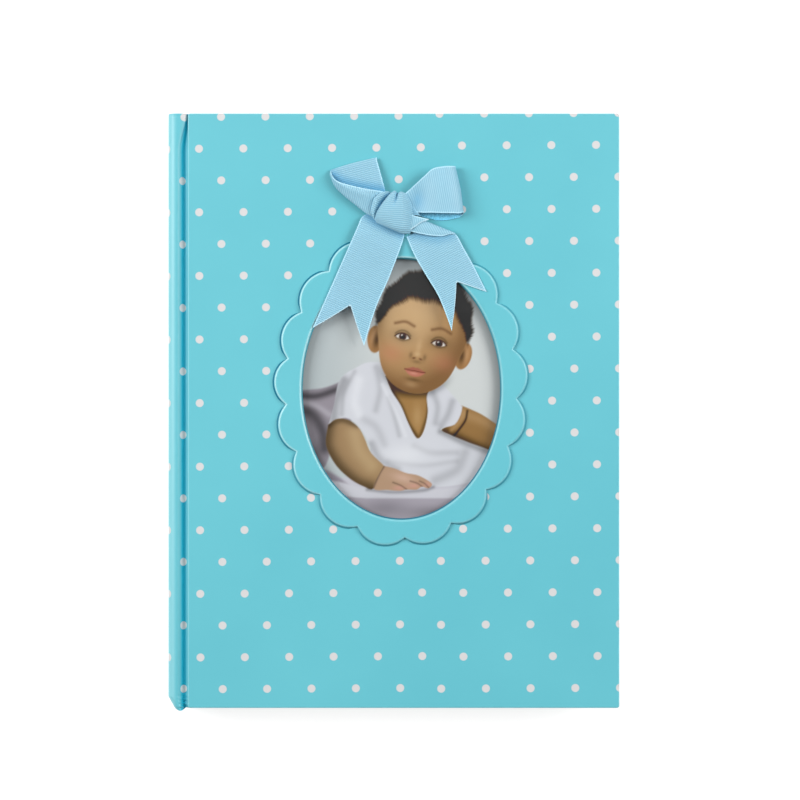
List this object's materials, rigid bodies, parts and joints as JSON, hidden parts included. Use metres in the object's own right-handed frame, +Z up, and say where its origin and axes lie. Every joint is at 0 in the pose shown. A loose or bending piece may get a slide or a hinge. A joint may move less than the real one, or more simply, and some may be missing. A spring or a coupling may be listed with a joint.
{
  "type": "scrapbook album",
  "caption": "Hardcover scrapbook album with card leaves, a photo window in a scalloped frame and a ribbon bow on its front cover.",
  "frame": {"origin": "on the table, under the middle of the closed album", "axes": "+X from the spine to the fore-edge, +Y from the tail to the head, +Z up out of the front cover"},
  "size_m": [0.212, 0.279, 0.0389],
  "materials": {
    "grey_board": "raw grey board",
    "dotted_cover_paper": "matt laminated, white dots",
    "endpaper": "plain uncoated",
    "kraft": "kraft",
    "mull": "open weave",
    "hinge_cloth": "fine weave",
    "glue": "dried glue",
    "band": "striped woven bead",
    "leaf_card": "smooth card",
    "pocket_card": "smooth card",
    "frame_card": "matt laminated",
    "print": "satin photographic print",
    "ribbon": "ribbed grosgrain"
  },
  "bodies": {
    "back_cover": {"back_board": "grey_board", "back_cover_paper": "dotted_cover_paper", "back_pastedown": "endpaper", "back_joint_paper": "dotted_cover_paper", "back_joint_lining": "endpaper"},
    "spine": {"spine_board": "grey_board", "spine_paper": "dotted_cover_paper", "spine_lining": "kraft", "mull_cloth": "mull", "binding_glue": "glue", "leaf_hinge_strips": "hinge_cloth", "head_band": "band", "tail_band": "band"},
    "front_cover": {"front_board": "grey_board", "front_cover_paper": "dotted_cover_paper", "front_pastedown": "endpaper", "front_joint_paper": "dotted_cover_paper", "front_joint_lining": "endpaper", "window_frame": "frame_card", "photo_pocket": "pocket_card", "bow_glue_dot": "glue", "bow_knot": "ribbon", "bow_left_loop": "ribbon", "bow_right_loop": "ribbon", "bow_left_tail": "ribbon", "bow_right_tail": "ribbon"},
    "photo_print": {"photo_print": "print"},
    "back_flyleaf": {"back_flyleaf": "endpaper"},
    "leaf_20": {"leaf_20": "leaf_card"},
    "leaf_19": {"leaf_19": "leaf_card"},
    "leaf_18": {"leaf_18": "leaf_card"},
    "leaf_17": {"leaf_17": "leaf_card"},
    "leaf_16": {"leaf_16": "leaf_card"},
    "leaf_15": {"leaf_15": "leaf_card"},
    "leaf_14": {"leaf_14": "leaf_card"},
    "leaf_13": {"leaf_13": "leaf_card"},
    "leaf_12": {"leaf_12": "leaf_card"},
    "leaf_11": {"leaf_11": "leaf_card"},
    "leaf_10": {"leaf_10": "leaf_card"},
    "leaf_09": {"leaf_09": "leaf_card"},
    "leaf_08": {"leaf_08": "leaf_card"},
    "leaf_07": {"leaf_07": "leaf_card"},
    "leaf_06": {"leaf_06": "leaf_card"},
    "leaf_05": {"leaf_05": "leaf_card"},
    "leaf_04": {"leaf_04": "leaf_card"},
    "leaf_03": {"leaf_03": "leaf_card"},
    "leaf_02": {"leaf_02": "leaf_card"},
    "leaf_01": {"leaf_01": "leaf_card"},
    "front_flyleaf": {"front_flyleaf": "endpaper"}
  },
  "joints": [
    {"name": "front_cover_hinge", "type": "hinge", "parent": "spine", "child": "front_cover", "pos_m": [-0.1047, 0, 0.0288], "axis": [0, -1, 0], "range_deg": [0, 87], "deforming": ["front_joint_paper", "front_joint_lining"]},
    {"name": "spine_hinge", "type": "hinge", "parent": "back_cover", "child": "spine", "pos_m": [-0.1047, 0, 0.0013], "axis": [0, -1, 0], "range_deg": [0, 88], "deforming": ["back_joint_paper", "back_joint_lining", "leaf_hinge_strips"]},
    {"name": "back_flyleaf_turn", "type": "hinge", "parent": "spine", "child": "back_flyleaf", "pos_m": [-0.102, 0, 0.00345], "axis": [0, -1, 0], "range_deg": [-83.67, 0]},
    {"name": "leaf_20_turn", "type": "hinge", "parent": "spine", "child": "leaf_20", "pos_m": [-0.102, 0, 0.0042], "axis": [0, -1, 0], "range_deg": [-79.09, 0]},
    {"name": "leaf_19_turn", "type": "hinge", "parent": "spine", "child": "leaf_19", "pos_m": [-0.102, 0, 0.0053], "axis": [0, -1, 0], "range_deg": [-74.04, 0]},
    {"name": "leaf_18_turn", "type": "hinge", "parent": "spine", "child": "leaf_18", "pos_m": [-0.102, 0, 0.0064], "axis": [0, -1, 0], "range_deg": [-68.33, 0]},
    {"name": "leaf_17_turn", "type": "hinge", "parent": "spine", "child": "leaf_17", "pos_m": [-0.102, 0, 0.0075], "axis": [0, -1, 0], "range_deg": [-61.83, 0]},
    {"name": "leaf_16_turn", "type": "hinge", "parent": "spine", "child": "leaf_16", "pos_m": [-0.102, 0, 0.0086], "axis": [0, -1, 0], "range_deg": [-54.45, 0]},
    {"name": "leaf_15_turn", "type": "hinge", "parent": "spine", "child": "leaf_15", "pos_m": [-0.102, 0, 0.0097], "axis": [0, -1, 0], "range_deg": [-46.17, 0]},
    {"name": "leaf_14_turn", "type": "hinge", "parent": "spine", "child": "leaf_14", "pos_m": [-0.102, 0, 0.0108], "axis": [0, -1, 0], "range_deg": [-37.04, 0]},
    {"name": "leaf_13_turn", "type": "hinge", "parent": "spine", "child": "leaf_13", "pos_m": [-0.102, 0, 0.0119], "axis": [0, -1, 0], "range_deg": [-27.18, 0]},
    {"name": "leaf_12_turn", "type": "hinge", "parent": "spine", "child": "leaf_12", "pos_m": [-0.102, 0, 0.013], "axis": [0, -1, 0], "range_deg": [-16.75, 0]},
    {"name": "leaf_11_turn", "type": "hinge", "parent": "spine", "child": "leaf_11", "pos_m": [-0.102, 0, 0.0141], "axis": [0, -1, 0], "range_deg": [-5.96, 0]},
    {"name": "leaf_10_turn", "type": "hinge", "parent": "spine", "child": "leaf_10", "pos_m": [-0.102, 0, 0.0152], "axis": [0, -1, 0], "range_deg": [0, 4.96]},
    {"name": "leaf_09_turn", "type": "hinge", "parent": "spine", "child": "leaf_09", "pos_m": [-0.102, 0, 0.0163], "axis": [0, -1, 0], "range_deg": [0, 15.75]},
    {"name": "leaf_08_turn", "type": "hinge", "parent": "spine", "child": "leaf_08", "pos_m": [-0.102, 0, 0.0174], "axis": [0, -1, 0], "range_deg": [0, 26.18]},
    {"name": "leaf_07_turn", "type": "hinge", "parent": "spine", "child": "leaf_07", "pos_m": [-0.102, 0, 0.0185], "axis": [0, -1, 0], "range_deg": [0, 36.04]},
    {"name": "leaf_06_turn", "type": "hinge", "parent": "spine", "child": "leaf_06", "pos_m": [-0.102, 0, 0.0196], "axis": [0, -1, 0], "range_deg": [0, 45.17]},
    {"name": "leaf_05_turn", "type": "hinge", "parent": "spine", "child": "leaf_05", "pos_m": [-0.102, 0, 0.0207], "axis": [0, -1, 0], "range_deg": [0, 53.45]},
    {"name": "leaf_04_turn", "type": "hinge", "parent": "spine", "child": "leaf_04", "pos_m": [-0.102, 0, 0.0218], "axis": [0, -1, 0], "range_deg": [0, 60.83]},
    {"name": "leaf_03_turn", "type": "hinge", "parent": "spine", "child": "leaf_03", "pos_m": [-0.102, 0, 0.0229], "axis": [0, -1, 0], "range_deg": [0, 67.33]},
    {"name": "leaf_02_turn", "type": "hinge", "parent": "spine", "child": "leaf_02", "pos_m": [-0.102, 0, 0.024], "axis": [0, -1, 0], "range_deg": [0, 73.04]},
    {"name": "leaf_01_turn", "type": "hinge", "parent": "spine", "child": "leaf_01", "pos_m": [-0.102, 0, 0.0251], "axis": [0, -1, 0], "range_deg": [0, 78.09]},
    {"name": "front_flyleaf_turn", "type": "hinge", "parent": "spine", "child": "front_flyleaf", "pos_m": [-0.102, 0, 0.02585], "axis": [0, -1, 0], "range_deg": [0, 82.67]},
    {"name": "photo_slide", "type": "slide", "parent": "front_cover", "child": "photo_print", "axis": [0, 1, 0], "range_m": [0, 0.15]}
  ],
  "couplings": [
    {"joint": "spine_hinge", "follows": "front_cover_hinge", "ratio": 1.0115},
    {"joint": "back_flyleaf_turn", "follows": "front_cover_hinge", "ratio": -0.96162},
    {"joint": "leaf_20_turn", "follows": "front_cover_hinge", "ratio": -0.90895},
    {"joint": "leaf_19_turn", "follows": "front_cover_hinge", "ratio": -0.85092},
    {"joint": "leaf_18_turn", "follows": "front_cover_hinge", "ratio": -0.78534},
    {"joint": "leaf_17_turn", "follows": "front_cover_hinge", "ratio": -0.71058},
    {"joint": "leaf_16_turn", "follows": "front_cover_hinge", "ratio": -0.62571},
    {"joint": "leaf_15_turn", "follows": "front_cover_hinge", "ratio": -0.53054},
    {"joint": "leaf_14_turn", "follows": "front_cover_hinge", "ratio": -0.42563},
    {"joint": "leaf_13_turn", "follows": "front_cover_hinge", "ratio": -0.31229},
    {"joint": "leaf_12_turn", "follows": "front_cover_hinge", "ratio": -0.19242},
    {"joint": "leaf_11_turn", "follows": "front_cover_hinge", "ratio": -0.068441},
    {"joint": "leaf_10_turn", "follows": "front_cover_hinge", "ratio": 0.056947},
    {"joint": "leaf_09_turn", "follows": "front_cover_hinge", "ratio": 0.18093},
    {"joint": "leaf_08_turn", "follows": "front_cover_hinge", "ratio": 0.30079},
    {"joint": "leaf_07_turn", "follows": "front_cover_hinge", "ratio": 0.41414},
    {"joint": "leaf_06_turn", "follows": "front_cover_hinge", "ratio": 0.51905},
    {"joint": "leaf_05_turn", "follows": "front_cover_hinge", "ratio": 0.61422},
    {"joint": "leaf_04_turn", "follows": "front_cover_hinge", "ratio": 0.69909},
    {"joint": "leaf_03_turn", "follows": "front_cover_hinge", "ratio": 0.77384},
    {"joint": "leaf_02_turn", "follows": "front_cover_hinge", "ratio": 0.83942},
    {"joint": "leaf_01_turn", "follows": "front_cover_hinge", "ratio": 0.89746},
    {"joint": "front_flyleaf_turn", "follows": "front_cover_hinge", "ratio": 0.95012}
  ]
}
